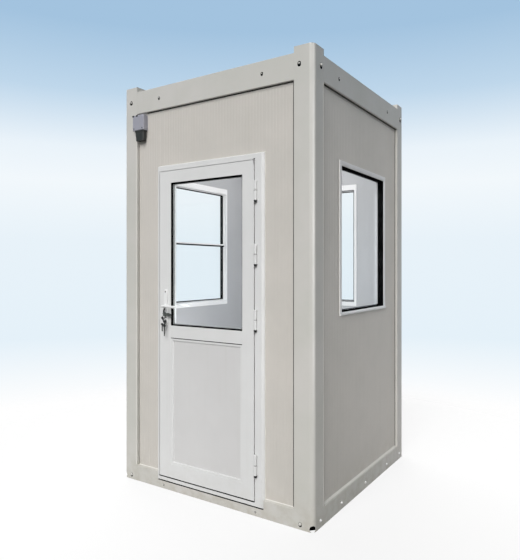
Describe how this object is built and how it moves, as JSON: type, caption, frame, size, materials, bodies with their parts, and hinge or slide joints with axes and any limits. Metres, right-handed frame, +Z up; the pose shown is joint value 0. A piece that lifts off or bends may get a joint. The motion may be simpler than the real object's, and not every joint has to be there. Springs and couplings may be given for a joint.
{
  "type": "security guard booth",
  "caption": "Small square guard cabin with steel corner posts and rails, sandwich panel walls, a half-glazed hinged door, windows in the other walls and a power inlet.",
  "frame": {"origin": "on the ground, in the middle of the square plan", "axes": "+Z up, +X to the right seen from the door, +Y from the door to the rear wall"},
  "size_m": [1.43, 1.486, 2.6],
  "materials": {
    "frame_paint": "satin",
    "wall_paint": "satin",
    "roof_paint": "satin",
    "joist_steel": "galvanised",
    "floor_vinyl": "matte",
    "door_white": "satin",
    "window_white": "satin",
    "glass": "clear",
    "black_rubber": "matte",
    "handle_alloy": "satin",
    "lock_steel": "brushed",
    "inlet_grey": "matte",
    "inlet_black": "matte"
  },
  "bodies": {
    "booth": {"base_rail_front": "frame_paint", "base_rail_left": "frame_paint", "base_rail_rear": "frame_paint", "base_rail_right": "frame_paint", "door_frame_head": "door_white", "door_frame_hinge_jamb": "door_white", "door_frame_lock_jamb": "door_white", "door_frame_threshold": "door_white", "floor_joists": "joist_steel", "floor_panel": "floor_vinyl", "front_wall_head": "wall_paint", "front_wall_left": "wall_paint", "front_wall_right": "wall_paint", "hinge_frame_knuckles": "door_white", "left_wall": "wall_paint", "left_window_frame": "window_white", "left_window_glass": "glass", "left_window_transom": "window_white", "post_front_left": "frame_paint", "post_front_right": "frame_paint", "post_rear_left": "frame_paint", "post_rear_right": "frame_paint", "power_inlet_box": "inlet_grey", "power_inlet_socket": "inlet_black", "rear_wall": "wall_paint", "rear_window_frame": "window_white", "rear_window_glass": "glass", "right_wall": "wall_paint", "right_window_frame": "window_white", "right_window_glass": "glass", "roof_panel": "roof_paint", "top_rail_front": "frame_paint", "top_rail_left": "frame_paint", "top_rail_rear": "frame_paint", "top_rail_right": "frame_paint", "window_gaskets": "black_rubber"},
    "door_leaf": {"door_leaf_frame": "door_white", "door_lower_panel": "door_white", "door_glass": "glass", "door_glass_gasket": "black_rubber", "hinge_leaf_knuckles": "door_white", "lock_plates": "handle_alloy", "lock_cylinder": "lock_steel", "lock_keys": "lock_steel"},
    "door_handle": {"outer_lever": "handle_alloy", "inner_lever": "handle_alloy"}
  },
  "joints": [
    {"name": "door_hinge", "type": "hinge", "parent": "booth", "child": "door_leaf", "pos_m": [0.352, -0.7265, 1.05], "axis": [0, 0, 1], "range_deg": [0, 110]},
    {"name": "handle_turn", "type": "hinge", "parent": "door_leaf", "child": "door_handle", "pos_m": [-0.333, -0.719, 1.163], "axis": [0, 1, 0], "range_deg": [0, 40], "stiffness_Nm_per_rad": 1.2, "springref_deg": -34.38}
  ]
}
